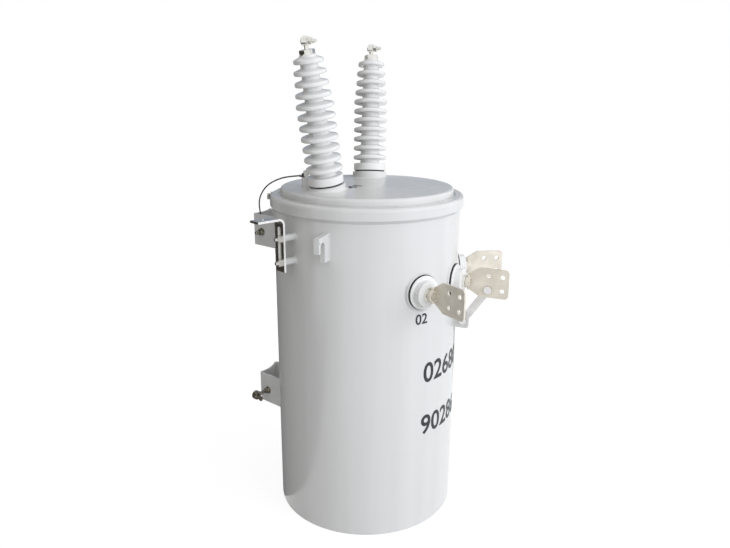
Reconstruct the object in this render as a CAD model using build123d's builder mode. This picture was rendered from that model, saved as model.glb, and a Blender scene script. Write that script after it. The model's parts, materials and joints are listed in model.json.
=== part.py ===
from build123d import *
import os
from math import cos, radians, sin, sqrt, tan

os.makedirs("parts", exist_ok=True)

# Pole mounted transformer, in millimetres, +Z up.
# The origin is on the tank's axis at the floor. The low voltage side faces -Y and the pole is at +Y.
# Azimuths are in degrees, measured from -Y towards +X. Left is -X.

# Clearances
curve_gap = 0.3
overrun = 5.0

# Tank
tank_d = 600.0
tank_wall = 4.0
tank_h = 1045.0
rim_reach = 5.0
rim_t = 6.0
bottom_t = 6.0
bottom_lift = 15.0
bottom_flange_h = 11.0

# Cover
cover_t = 4.0
crown_inset = 23.0
crown_h = 43.0
crown_dome = 10.0
crown_edge_fillet = 9.0
crown_root_fillet = 3.0

# Cover band
band_reach = 11.0
band_above_rim = 22.0
band_below_rim = 13.0
band_bevel = 10.7
band_lip_inset = 15.0
band_lip_fillet = 12.0
band_lip_inner_fillet = 3.0
band_bolt_azimuth = -166.0
band_split = 30.0
band_ear_t = 4.0
band_ear_h = 20.0
band_ear_reach = 19.0
band_ear_root = 3.0
band_bolt_d = 8.0
band_bolt_flats = 13.0
band_bolt_head_t = 6.0
band_bolt_tail = 8.0
band_bolt_rise = 11.0

# High voltage bushings
hv_azimuth = 111.0
hv_inset = 103.0
hv_tilt = 10.0
hv_seat_rise = 22.0
hv_boss_d = 116.0
hv_boss_fillet = 6.0
hv_gasket_d = 100.0
hv_gasket_t = 4.5
hv_h = 373.0
hv_collar_d = 108.0
hv_collar_h = 23.5
hv_core_low_d = 66.0
hv_core_top_d = 49.0
shed_count = 11
shed_d = 112.0
shed_d_shares = (1.0, 1.0, 1.0, 1.0, 1.0, 1.0, 1.0, 0.94, 0.885, 0.85, 0.78)
shed_first = 43.0
shed_top_clear = 18.0
shed_rim_r = 6.0
shed_rise = 7.0
shed_undercut = 2.0

# High voltage terminals
hv_washer_d = 44.0
hv_washer_t = 2.5
hv_nut_flats = 40.0
hv_nut_t = 11.0
hv_nut_chamfer = 1.5
eye_stem_d = 13.0
eye_rise = 23.0
eye_head_d = 26.0
eye_head_t = 16.0
clamp_bolt_d = 10.0
clamp_flats = 18.0
clamp_head_t = 4.0
clamp_nut_t = 12.0
clamp_tail = 12.0
clamp_tail_fillet = 1.5

# Low voltage bushings
lv_azimuth = 32.4
lv_drop = 237.0
lv_boss_d = 116.0
lv_boss_face = 2.0
lv_boss_depth = 12.0
lv_boss_chamfer = 1.5
lv_gasket_d = 107.0
lv_gasket_t = 4.0
lv_collar_d = 104.0
lv_collar_t = 5.0
lv_body_d = 80.0
lv_body_t = 22.0
lv_edge_fillet = 2.3
lv_stud_d = 22.0
lv_nut_flats = 36.0
lv_nut_t = 5.5
lv_washer_d = 42.0
lv_washer_t = 2.5

# Spade terminals
hub_d = 34.0
hub_len = 15.0
hub_fillet = 1.5
hub_bore_clear = 0.8
spade_t = 6.0
spade_offset = 11.0
spade_neck_h = 46.0
spade_h = 94.0
spade_shoulder = 41.0
spade_len = 132.0
spade_corner = 13.0
spade_shoulder_fillet = 6.0
spade_hole_d = 14.3
spade_hole_spacing = 44.45
spade_hole_edge = 20.0
set_screw_d = 8.0
set_screw_rise = 7.0

# Ground strap from the middle spade to the tank
strap_w = 25.0
strap_t = 3.0
strap_lug_t = 6.0
strap_lug_h = 50.0
strap_lug_reach = 52.0
strap_lug_drop = 134.0
strap_lug_fillet = 10.0
strap_lug_hole_edge = 20.0
strap_bolt_d = 12.0
strap_bolt_head_d = 26.0
strap_bolt_head_t = 6.0
strap_bolt_head_fillet = 2.0
strap_nut_flats = 19.0
strap_nut_t = 10.0
bolt_clear = 0.5

# Hanger brackets
hanger_drop = 125.0
hanger_spacing = 590.55
hanger_h = 108.0
hanger_w = 106.0
hanger_root_w = 174.0
hanger_root_depth = 20.0
hanger_stand = 105.0
hanger_t = 6.0
hanger_corner = 4.0
hanger_bow = 11.0
hanger_slot_w = 21.0
hanger_slot_len = 46.0

# Ground bolts on the hanger brackets
bond_bolt_d = 12.0
bond_inset = 41.0
bond_drop = 5.0
bond_washer_d = 26.0
bond_washer_t = 2.5
bond_nut_flats = 19.0
bond_nut_t = 10.0
bond_tail = 15.0
bond_tab_t = 3.0
bond_tab_w = 18.0
bond_barrel_d = 8.0
bond_barrel_low = 10.0
bond_barrel_len = 15.0
connector_len = 56.0
connector_shank_d = 13.0
connector_shank_len = 23.0
connector_eye_d = 31.0
connector_eye_t = 14.0
connector_eye_bore = 15.0
connector_screw_d = 9.0
connector_screw_len = 14.0
connector_screw_slope = 50.0
connector_screw_flats = 14.0
connector_screw_head_t = 8.0

# Arrester brackets
arrester_azimuth = 112.0
arrester_standoff_d = 21.0
arrester_standoff_len = 48.0
arrester_standoff_drops = (79.0, 150.5)
arrester_w = 40.0
arrester_t = 6.35
arrester_top_drop = 15.0
arrester_h = 162.0
arrester_reach = 92.0
arrester_bend = 13.0
arrester_slot_w = 14.0
arrester_slot_inset = 14.0
arrester_hole_d = 14.0
arrester_hole_edge = 34.0
arrester_stud_d = 12.0
arrester_nut_flats = 19.0
arrester_nut_t = 10.0
arrester_stud_tail = 5.0

# Lifting lugs
lug_azimuth = 88.6
lug_drop = 53.0
lug_t = 16.0
lug_reach = 66.0
lug_root_h = 81.0
lug_nose_top_drop = 5.0
lug_slot_w = 26.0
lug_slot_from_tank = 29.0
lug_slot_top_drop = 19.0
lug_nose_low_rise = 32.0
lug_nose_fillet = 9.0
lug_hole_d = 5.0

# Cover ground post
post_azimuth = -142.0
post_inset = 77.0
post_d = 22.0
post_h = 33.0
post_bolt_flats = 19.0
post_bolt_t = 9.0
post_bolt_d = 10.0
post_bolt_tail = 7.0
post_tab_t = 3.0
post_tab_w = 20.0
post_tab_len = 28.0
post_barrel_d = 8.0
post_barrel_len = 14.0

# Ground wire from the cover post to the upper hanger bracket
wire_d = 4.6
wire_bend_share = 0.45
wire_route = [
    (-114.0, 182.5, 1122.5),
    (-97.5, 233.5, 1115.0),
    (-83.0, 276.0, 1104.0),
    (-69.2, 317.8, 1086.5),
    (-59.9, 345.8, 1068.8),
    (-51.9, 369.8, 1042.4),
    (-48.4, 380.3, 1018.9),
    (-48.3, 380.7, 994.8),
    (-50.5, 374.5, 969.0),
    (-53.9, 362.0, 941.0),
]

# Worked out from the sizes above
tank_r = tank_d / 2
tank_inner_r = tank_r - tank_wall
rim_r = tank_r + rim_reach
crown_r = tank_r - crown_inset
crown_top = tank_h + crown_h
cover_lip_top = tank_h + cover_t
shed_spacing = (hv_h - shed_first - shed_top_clear) / (shed_count - 1)
dome_r = (crown_r**2 + crown_dome**2) / (2 * crown_dome)
dome_centre = crown_top + crown_dome - dome_r
lv_height = tank_h - lv_drop
lv_azimuths = {"left": -lv_azimuth, "middle": 0, "right": lv_azimuth}
sides = {"left": -1, "right": 1}


def outward(azimuth):
    return Vector(sin(radians(azimuth)), -cos(radians(azimuth)), 0)


def across(azimuth):
    return Vector(cos(radians(azimuth)), sin(radians(azimuth)), 0)


# Local x runs round the tank, y is up and z points out from the tank's axis
def radial_plane(azimuth, radius, height):
    centre = outward(azimuth) * radius + Vector(0, 0, height)
    return Plane(origin=centre, x_dir=across(azimuth), z_dir=outward(azimuth))


# Local x points out from the tank's axis, y is up and z points back round the tank
def side_plane(azimuth, offset, height):
    centre = across(azimuth) * offset + Vector(0, 0, height)
    return Plane(origin=centre, x_dir=outward(azimuth), z_dir=across(azimuth) * -1)


# Local x is a radius and y runs along the normal of the plane that a turned piece stands on
def turning_plane(seat):
    return Plane(origin=seat.origin, x_dir=seat.x_dir, z_dir=seat.x_dir.cross(seat.z_dir))


def turning_axis(seat):
    return Axis(seat.origin, seat.z_dir)


def hv_seat(side):
    azimuth = hv_azimuth * sides[side]
    lean = outward(azimuth) * sin(radians(hv_tilt)) + Vector(0, 0, cos(radians(hv_tilt)))
    centre = outward(azimuth) * (crown_r - hv_inset) + Vector(0, 0, crown_top + hv_seat_rise)
    return Plane(origin=centre, x_dir=across(azimuth), z_dir=lean)


# Height of the crown's domed top at a distance from the tank's axis
def dome_height(radius):
    return dome_centre + sqrt(dome_r**2 - radius**2)


def hexagon(flats):
    return RegularPolygon(flats / 2, 6, major_radius=False)


def save(piece, name):
    piece.part.label = name
    export_step(piece.part, f"parts/{name}.step")


# Tank shell: a rolled wall with an outward rim
with BuildPart() as tank_shell:
    with BuildSketch(Plane.XZ):
        with BuildLine():
            Polyline(
                (tank_inner_r, 0),
                (tank_r, 0),
                (tank_r, tank_h - rim_t),
                (rim_r, tank_h - rim_t),
                (rim_r, tank_h),
                (tank_inner_r, tank_h),
                close=True,
            )
        make_face()
    revolve(axis=Axis.Z)
save(tank_shell, "tank_shell")

# Tank bottom: a flanged plate set up inside the wall
bottom_r = tank_inner_r - curve_gap
with BuildPart() as tank_bottom:
    with BuildSketch(Plane.XZ):
        with BuildLine():
            Polyline(
                (0, bottom_lift),
                (bottom_r - bottom_t, bottom_lift),
                (bottom_r - bottom_t, bottom_lift - bottom_flange_h),
                (bottom_r, bottom_lift - bottom_flange_h),
                (bottom_r, bottom_lift + bottom_t),
                (0, bottom_lift + bottom_t),
                close=True,
            )
        make_face()
    revolve(axis=Axis.Z)
save(tank_bottom, "tank_bottom")

# Cover: a pressed, slightly domed crown on a flat lip, with a slanted boss under each high voltage bushing
with BuildPart() as tank_cover:
    with BuildSketch(Plane.XZ):
        with BuildLine():
            ThreePointArc((0, dome_height(0)), (crown_r / 2, dome_height(crown_r / 2)), (crown_r, crown_top))
            Polyline(
                (crown_r, crown_top),
                (crown_r, cover_lip_top),
                (rim_r, cover_lip_top),
                (rim_r, tank_h),
                (0, tank_h),
                (0, dome_height(0)),
            )
        outline = make_face()
        crown_wall = outline.vertices().group_by(Axis.X)[1].sort_by(Axis.Y)
        fillet(crown_wall[-1], crown_edge_fillet)
        fillet(crown_wall[0], crown_root_fillet)
    revolve(axis=Axis.Z)
    for side in sides:
        with BuildSketch(hv_seat(side)):
            Circle(hv_boss_d / 2)
        extrude(amount=-crown_h)
    plain_edges = tank_cover.edges().filter_by(GeomType.CIRCLE) + tank_cover.edges().filter_by(GeomType.LINE)
    boss_feet = tank_cover.edges() - plain_edges
    fillet(boss_feet, hv_boss_fillet)
    with BuildSketch(Plane.XZ):
        with BuildLine():
            hollow_r = crown_r - cover_t
            hollow_edge = dome_height(hollow_r) - cover_t
            hollow_middle = dome_height(hollow_r / 2) - cover_t
            hollow_top = dome_height(0) - cover_t
            ThreePointArc((0, hollow_top), (hollow_r / 2, hollow_middle), (hollow_r, hollow_edge))
            Polyline((hollow_r, hollow_edge), (hollow_r, tank_h), (0, tank_h), (0, hollow_top))
        hollow = make_face()
        shoulder = hollow.vertices().group_by(Axis.X)[-1].sort_by(Axis.Y)[-1]
        fillet(shoulder, crown_edge_fillet - cover_t)
    revolve(axis=Axis.Z, mode=Mode.SUBTRACT)
save(tank_cover, "tank_cover")

# Cover band: a rolled ring that grips the rim and the cover's lip, split at its tension bolt
band_r = tank_r + band_reach
band_lip_r = tank_r - band_lip_inset
band_top = tank_h + band_above_rim
band_low = tank_h - band_below_rim
band_bolt_height = tank_h
band_bolt_r = band_r + band_bolt_rise
ear_offset = band_split / 2 + band_ear_t / 2
with BuildPart() as cover_band:
    with BuildSketch(Plane.XZ):
        with BuildLine():
            Polyline(
                (tank_r + curve_gap, band_low - band_bevel),
                (band_r, band_low),
                (band_r, band_top),
                (band_lip_r, band_top),
                (band_lip_r, cover_lip_top),
                (rim_r + curve_gap, cover_lip_top),
                (rim_r + curve_gap, tank_h - rim_t),
                (tank_r + curve_gap, tank_h - rim_t),
                close=True,
            )
        face = make_face()
        top_corners = face.vertices().group_by(Axis.Y)[-1].sort_by(Axis.X)
        fillet(top_corners[-1], band_lip_fillet)
        fillet(top_corners[0], band_lip_inner_fillet)
    revolve(axis=Axis.Z)
    with BuildSketch(radial_plane(band_bolt_azimuth, 0, tank_h)):
        Rectangle(band_split, tank_d)
    extrude(amount=band_r + overrun, mode=Mode.SUBTRACT)
    with BuildSketch(radial_plane(band_bolt_azimuth, band_r - band_ear_root, band_bolt_height)):
        with Locations((-ear_offset, 0), (ear_offset, 0)):
            Rectangle(band_ear_t, band_ear_h)
    extrude(amount=band_ear_root + band_ear_reach)
    with BuildSketch(side_plane(band_bolt_azimuth, 0, band_bolt_height)):
        with Locations((band_bolt_r, 0)):
            Circle(band_bolt_d / 2 + bolt_clear)
    extrude(amount=ear_offset + band_ear_t, both=True, mode=Mode.SUBTRACT)
save(cover_band, "cover_band")

# Band bolt: drawn through the two ears, with a head at one end and a nut at the other
ear_face = ear_offset + band_ear_t / 2
band_bolt_end = ear_face + band_bolt_head_t + band_bolt_tail
with BuildPart() as band_bolt:
    with BuildSketch(side_plane(band_bolt_azimuth, band_bolt_end, band_bolt_height)):
        with Locations((band_bolt_r, 0)):
            Circle(band_bolt_d / 2)
    extrude(amount=2 * (ear_face + band_bolt_head_t) + band_bolt_tail)
    for far_side in (ear_face + band_bolt_head_t, -ear_face):
        with BuildSketch(side_plane(band_bolt_azimuth, far_side, band_bolt_height)):
            with Locations((band_bolt_r, 0)):
                hexagon(band_bolt_flats)
        extrude(amount=band_bolt_head_t)
save(band_bolt, "band_bolt")


# High voltage bushing: one porcelain turned with a base collar and sheds that narrow near the top
def shed_outline():
    def core_r(height):
        share = (height - hv_collar_h) / (hv_h - hv_collar_h)
        return (hv_core_low_d + (hv_core_top_d - hv_core_low_d) * share) / 2

    Polyline((0, 0), (hv_collar_d / 2, 0), (hv_collar_d / 2, hv_collar_h), (core_r(hv_collar_h), hv_collar_h))
    last = (core_r(hv_collar_h), hv_collar_h)
    for index in range(shed_count):
        middle = shed_first + shed_spacing * index
        rim = shed_d * shed_d_shares[index] / 2 - shed_rim_r
        root_low = middle - shed_rim_r + shed_undercut
        root_high = middle + shed_rim_r + shed_rise
        low = (core_r(root_low), root_low)
        high = (core_r(root_high), root_high)
        Polyline(last, low, (rim, middle - shed_rim_r))
        ThreePointArc((rim, middle - shed_rim_r), (rim + shed_rim_r, middle), (rim, middle + shed_rim_r))
        Line((rim, middle + shed_rim_r), high)
        last = high
    Polyline(last, (core_r(hv_h), hv_h), (0, hv_h), (0, 0))


for side in sides:
    seat = hv_seat(side)
    foot = seat.offset(hv_gasket_t)
    with BuildPart() as hv_bushing:
        with BuildSketch(turning_plane(foot)):
            with BuildLine():
                shed_outline()
            make_face()
        revolve(axis=turning_axis(foot))
    save(hv_bushing, f"hv_bushing_{side}")

# High voltage gaskets under the two collars
with BuildPart() as hv_gaskets:
    for side in sides:
        with BuildSketch(hv_seat(side)):
            Circle(hv_gasket_d / 2)
        extrude(amount=hv_gasket_t)
save(hv_gaskets, "hv_gaskets")

# High voltage terminals: a nut on a washer, an eyebolt through both and a clamp bolt in its eye
eye_height = hv_washer_t + hv_nut_t + eye_rise
for side in sides:
    top = hv_seat(side).offset(hv_gasket_t + hv_h)
    with BuildPart() as hv_nut:
        with BuildSketch(top):
            Circle(hv_washer_d / 2)
        extrude(amount=hv_washer_t)
        with BuildSketch(top.offset(hv_washer_t)):
            hexagon(hv_nut_flats)
        extrude(amount=hv_nut_t)
        chamfer(hv_nut.faces().sort_by(turning_axis(top))[-1].edges(), hv_nut_chamfer)
        with BuildSketch(top):
            Circle(eye_stem_d / 2 + curve_gap)
        extrude(amount=hv_washer_t + hv_nut_t, mode=Mode.SUBTRACT)
    save(hv_nut, f"hv_nut_{side}")

    # The clamp bolt lies level, along the front to back direction of the tank
    level = Vector(0, -1, 0)
    eye_centre = top.origin + top.z_dir * eye_height
    eye_plane = Plane(origin=eye_centre, x_dir=top.z_dir.cross(level), z_dir=level)
    with BuildPart() as hv_eyebolt:
        with BuildSketch(top):
            Circle(eye_stem_d / 2)
        extrude(amount=eye_height)
        with BuildSketch(eye_plane):
            Circle(eye_head_d / 2)
        extrude(amount=eye_head_t / 2, both=True)
        with BuildSketch(eye_plane):
            Circle(clamp_bolt_d / 2 + curve_gap)
        extrude(amount=eye_head_t, both=True, mode=Mode.SUBTRACT)
    save(hv_eyebolt, f"hv_eyebolt_{side}")

    with BuildPart() as hv_clamp_bolt:
        with BuildSketch(eye_plane.offset(-eye_head_t / 2 - clamp_head_t)):
            hexagon(clamp_flats)
        extrude(amount=clamp_head_t)
        with BuildSketch(eye_plane.offset(eye_head_t / 2)):
            hexagon(clamp_flats)
        extrude(amount=clamp_nut_t)
        with BuildSketch(eye_plane.offset(-eye_head_t / 2)):
            Circle(clamp_bolt_d / 2)
        extrude(amount=eye_head_t + clamp_nut_t + clamp_tail)
        fillet(hv_clamp_bolt.faces().sort_by(Axis(eye_centre, level))[-1].edges(), clamp_tail_fillet)
    save(hv_clamp_bolt, f"hv_clamp_bolt_{side}")

# Low voltage bosses: short rings welded on the tank wall, cut to its curve
lv_boss_r = tank_r + lv_boss_face
with BuildPart() as lv_bosses:
    for azimuth in lv_azimuths.values():
        with BuildSketch(radial_plane(azimuth, lv_boss_r - lv_boss_depth, lv_height)):
            Circle(lv_boss_d / 2)
        extrude(amount=lv_boss_depth)
    boss_rings = lv_bosses.edges().filter_by(GeomType.CIRCLE).sort_by_distance((0, 0, lv_height))
    chamfer(boss_rings[-3:], lv_boss_chamfer)
    Cylinder(
        tank_r + curve_gap,
        tank_h,
        align=(Align.CENTER, Align.CENTER, Align.MIN),
        mode=Mode.SUBTRACT,
    )
save(lv_bosses, "lv_bosses")

# Low voltage gaskets
with BuildPart() as lv_gaskets:
    for azimuth in lv_azimuths.values():
        with BuildSketch(radial_plane(azimuth, lv_boss_r, lv_height)):
            Circle(lv_gasket_d / 2)
        extrude(amount=lv_gasket_t)
save(lv_gaskets, "lv_gaskets")

# Low voltage bushings, their stud nuts and the spades on the studs
lv_foot_r = lv_boss_r + lv_gasket_t
lv_face = lv_collar_t + lv_body_t
lv_stud_r = lv_foot_r + lv_face
hub_start_r = lv_stud_r + lv_washer_t + lv_nut_t
hub_end_r = hub_start_r + hub_len
spade_end_r = hub_start_r + spade_len
spade_hole_out_r = spade_end_r - spade_hole_edge
spade_hole_mid_r = spade_hole_out_r - spade_hole_spacing / 2
for name, azimuth in lv_azimuths.items():
    foot = radial_plane(azimuth, lv_foot_r, lv_height)
    with BuildPart() as lv_bushing:
        with BuildSketch(turning_plane(foot)):
            with BuildLine():
                Polyline(
                    (0, 0),
                    (lv_collar_d / 2, 0),
                    (lv_collar_d / 2, lv_collar_t),
                    (lv_body_d / 2, lv_collar_t),
                    (lv_body_d / 2, lv_face),
                    (0, lv_face),
                    close=True,
                )
            outline = make_face()
            collar_rim = outline.vertices().group_by(Axis.X)[-1]
            body_rim = outline.vertices().group_by(Axis.X)[-2].sort_by_distance(foot.origin)[-1]
            fillet([*collar_rim, body_rim], lv_edge_fillet)
        revolve(axis=turning_axis(foot))
    save(lv_bushing, f"lv_bushing_{name}")

    stud_seat = radial_plane(azimuth, lv_stud_r, lv_height)
    with BuildPart() as lv_stud:
        with BuildSketch(stud_seat):
            Circle(lv_washer_d / 2)
        extrude(amount=lv_washer_t)
        with BuildSketch(stud_seat.offset(lv_washer_t)):
            hexagon(lv_nut_flats)
        extrude(amount=lv_nut_t)
        with BuildSketch(stud_seat):
            Circle(lv_stud_d / 2)
        extrude(amount=hub_end_r - lv_stud_r)
    save(lv_stud, f"lv_stud_{name}")

    with BuildPart() as lv_spade:
        hub_seat = radial_plane(azimuth, hub_start_r, lv_height)
        with BuildSketch(hub_seat):
            Circle(hub_d / 2)
        extrude(amount=hub_len)
        fillet(lv_spade.edges().filter_by(GeomType.CIRCLE), hub_fillet)
        with BuildSketch(Plane(origin=hub_seat.origin + hub_seat.z_dir * (hub_len / 2), z_dir=(0, 0, 1))):
            Circle(set_screw_d / 2)
        extrude(amount=hub_d / 2 + set_screw_rise, both=True)
        with BuildSketch(side_plane(azimuth, spade_offset + spade_t, lv_height)):
            with BuildLine():
                Polyline(
                    (hub_start_r, spade_neck_h / 2),
                    (hub_start_r + spade_shoulder, spade_h / 2),
                    (spade_end_r, spade_h / 2),
                    (spade_end_r, -spade_h / 2),
                    (hub_start_r + spade_shoulder, -spade_h / 2),
                    (hub_start_r, -spade_neck_h / 2),
                    close=True,
                )
            plate = make_face()
            columns = plate.vertices().group_by(Axis.X)
            fillet(columns[-1], spade_corner)
            fillet(columns[1], spade_shoulder_fillet)
            with Locations((spade_hole_mid_r, 0)):
                with GridLocations(spade_hole_spacing, spade_hole_spacing, 2, 2):
                    Circle(spade_hole_d / 2, mode=Mode.SUBTRACT)
        extrude(amount=spade_t)
        with BuildSketch(hub_seat):
            Circle(lv_stud_d / 2 + hub_bore_clear)
        extrude(amount=hub_len, mode=Mode.SUBTRACT)
    save(lv_spade, f"lv_spade_{name}")

# Tank ground lug: a plate welded edge on to the tank, under the middle spade and in line with it
strap_lug_height = lv_height - strap_lug_drop
strap_lug_end_r = tank_r + strap_lug_reach
strap_hole_r = strap_lug_end_r - strap_lug_hole_edge
strap_far = spade_offset + spade_t
with BuildPart() as tank_ground_lug:
    with BuildSketch(side_plane(0, strap_far, strap_lug_height)):
        with Locations((strap_lug_end_r - strap_lug_reach / 2 - overrun, 0)):
            corners = Rectangle(strap_lug_reach + 2 * overrun, strap_lug_h)
        fillet(corners.vertices().group_by(Axis.X)[-1], strap_lug_fillet)
        with Locations((strap_hole_r, 0)):
            Circle(strap_bolt_d / 2 + bolt_clear, mode=Mode.SUBTRACT)
    extrude(amount=strap_lug_t)
    Cylinder(
        tank_r + curve_gap,
        tank_h,
        align=(Align.CENTER, Align.CENTER, Align.MIN),
        mode=Mode.SUBTRACT,
    )
save(tank_ground_lug, "tank_ground_lug")

# Ground strap: a flat bar on the far faces of the spade and the lug
strap_top = Vector(spade_hole_mid_r - spade_hole_spacing / 2, -spade_hole_spacing / 2)
strap_foot = Vector(strap_hole_r, -strap_lug_drop)
strap_run = strap_top - strap_foot
strap_middle = (strap_top + strap_foot) * 0.5
strap_turn = Vector(1, 0).get_signed_angle(strap_run, Vector(0, 0, 1))
strap_plane = side_plane(0, strap_far + strap_t, lv_height)
with BuildPart() as ground_strap:
    with BuildSketch(strap_plane):
        with Locations(Location((strap_middle.X, strap_middle.Y, 0), (0, 0, strap_turn))):
            SlotCenterToCenter(strap_run.length, strap_w)
        with Locations((strap_top.X, strap_top.Y), (strap_foot.X, strap_foot.Y)):
            Circle(strap_bolt_d / 2 + bolt_clear, mode=Mode.SUBTRACT)
    extrude(amount=strap_t)
save(ground_strap, "ground_strap")

# Strap bolts: round heads on the near faces and nuts behind the strap
strap_near = spade_offset
strap_back = strap_far + strap_t
with BuildPart() as strap_bolts:
    for place in (strap_top, strap_foot):
        with BuildSketch(side_plane(0, strap_near, lv_height)):
            with Locations((place.X, place.Y)):
                Circle(strap_bolt_head_d / 2)
        extrude(amount=strap_bolt_head_t)
        with BuildSketch(side_plane(0, strap_back + strap_nut_t, lv_height)):
            with Locations((place.X, place.Y)):
                hexagon(strap_nut_flats)
        extrude(amount=strap_nut_t)
        with BuildSketch(side_plane(0, strap_back, lv_height)):
            with Locations((place.X, place.Y)):
                Circle(strap_bolt_d / 2)
        extrude(amount=strap_back - strap_near)
    head_rings = strap_bolts.edges().filter_by(GeomType.CIRCLE).group_by(Axis.X)[0]
    fillet(head_rings, strap_bolt_head_fillet)
save(strap_bolts, "strap_bolts")

# Hanger brackets: a plate bent to two splayed flanges, with a web that is hollowed to seat on the pole
hanger_height = tank_h - hanger_drop
hanger_reach = tank_r + hanger_stand
hanger_heights = {"upper": hanger_height, "lower": hanger_height - hanger_spacing}
web_half = hanger_w / 2 - hanger_t / 2
web_y = hanger_reach - hanger_t / 2
root_half = hanger_root_w / 2 - hanger_t / 2
root_y = tank_r - hanger_root_depth
flange_way = Vector(web_half - root_half, root_y - web_y, 0).normalized()
flange_normal = flange_way.cross(Vector(0, 0, 1))


# Local x runs along the left flange towards the tank, y is up and z points out of its outer face
def flange_plane(inset, height):
    corner = Vector(-web_half, web_y, height) + flange_normal * (hanger_t / 2)
    return Plane(origin=corner + flange_way * inset, x_dir=flange_way, z_dir=flange_normal)


bond_seats = {name: flange_plane(bond_inset, height - bond_drop) for name, height in hanger_heights.items()}
for name, height in hanger_heights.items():
    with BuildPart() as hanger_bracket:
        with BuildSketch(Plane.XY.offset(height - hanger_h / 2)):
            with BuildLine() as bent_plate:
                near = Line((-root_half, root_y), (-web_half, web_y))
                web = ThreePointArc(near @ 1, (0, web_y - hanger_bow), (web_half, web_y))
                far = Line(web @ 1, (root_half, root_y))
                fillet(bent_plate.vertices().group_by(Axis.Y)[-1], hanger_corner)
                offset(amount=hanger_t / 2, side=Side.BOTH, closed=True, kind=Kind.ARC)
            make_face()
        extrude(amount=hanger_h)
        Cylinder(
            tank_r + curve_gap,
            tank_h,
            align=(Align.CENTER, Align.CENTER, Align.MIN),
            mode=Mode.SUBTRACT,
        )
        with BuildSketch(Plane.XZ.offset(-hanger_reach)):
            with Locations((0, height)):
                SlotOverall(hanger_slot_len, hanger_slot_w, rotation=90)
        extrude(amount=hanger_reach - tank_r - overrun, mode=Mode.SUBTRACT)
        with BuildSketch(bond_seats[name]):
            Circle(bond_bolt_d / 2 + bolt_clear)
        extrude(amount=-hanger_t, mode=Mode.SUBTRACT)
    save(hanger_bracket, f"{name}_hanger_bracket")

# Bond bolt: holds the wire's lug inside the upper bracket, with its nut outside
bond_seat = bond_seats["upper"]
inner_seat = bond_seat.offset(-hanger_t)
barrel_foot = inner_seat.offset(-bond_barrel_d / 2).origin + Vector(0, 0, bond_barrel_low)
with BuildPart() as bond_bolt:
    with BuildSketch(inner_seat):
        Circle(bond_bolt_d / 2)
    extrude(amount=hanger_t + bond_washer_t + bond_nut_t + bond_tail)
    with BuildSketch(bond_seat):
        Circle(bond_washer_d / 2)
    extrude(amount=bond_washer_t)
    with BuildSketch(bond_seat.offset(bond_washer_t)):
        hexagon(bond_nut_flats)
    extrude(amount=bond_nut_t)
    with BuildSketch(inner_seat):
        SlotCenterToCenter(bond_tab_w, bond_tab_w, rotation=90)
    extrude(amount=-bond_tab_t)
    with BuildSketch(inner_seat.offset(-bond_tab_t)):
        hexagon(bond_nut_flats)
    extrude(amount=-bond_nut_t / 2)
    with BuildSketch(Plane(origin=barrel_foot, z_dir=(0, 0, 1))):
        Circle(bond_barrel_d / 2)
    extrude(amount=bond_barrel_len)
save(bond_bolt, "bond_bolt")

# Ground stud: holds the clamp eye on the lower bracket, with a nut on each side of the flange
eye_seat = bond_seats["lower"]
shank_end = connector_len - connector_shank_len
with BuildPart() as ground_stud:
    with BuildSketch(eye_seat.offset(-hanger_t)):
        Circle(bond_bolt_d / 2)
    extrude(amount=hanger_t + shank_end)
    with BuildSketch(eye_seat):
        Circle(bond_washer_d / 2)
    extrude(amount=bond_washer_t)
    with BuildSketch(eye_seat.offset(bond_washer_t)):
        hexagon(bond_nut_flats)
    extrude(amount=bond_nut_t)
    with BuildSketch(eye_seat.offset(-hanger_t)):
        hexagon(bond_nut_flats)
    extrude(amount=-bond_nut_t)
save(ground_stud, "ground_stud")

# Ground connector: a clamp eye on a short shank, with a clamp screw that starts in the eye's wall, clear of its bore
eye_middle = eye_seat.offset(connector_len).origin
screw_drop = Vector(0, 0, sin(radians(connector_screw_slope)))
screw_way = eye_seat.z_dir * -cos(radians(connector_screw_slope)) - screw_drop
screw_foot = Plane(origin=eye_middle + screw_way * ((connector_eye_d + connector_eye_bore) / 4), z_dir=screw_way)
with BuildPart() as ground_connector:
    with BuildSketch(eye_seat.offset(shank_end)):
        Circle(connector_shank_d / 2)
    extrude(amount=connector_shank_len)
    with BuildSketch(Plane(origin=eye_middle, z_dir=flange_way)):
        Circle(connector_eye_d / 2)
    extrude(amount=connector_eye_t / 2, both=True)
    with BuildSketch(screw_foot):
        Circle(connector_screw_d / 2)
    extrude(amount=connector_screw_len)
    with BuildSketch(screw_foot.offset(connector_screw_len)):
        hexagon(connector_screw_flats)
    extrude(amount=connector_screw_head_t)
    with BuildSketch(Plane(origin=eye_middle, z_dir=flange_way)):
        Circle(connector_eye_bore / 2)
    extrude(amount=connector_eye_t / 2, both=True, mode=Mode.SUBTRACT)
save(ground_connector, "ground_connector")

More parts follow.
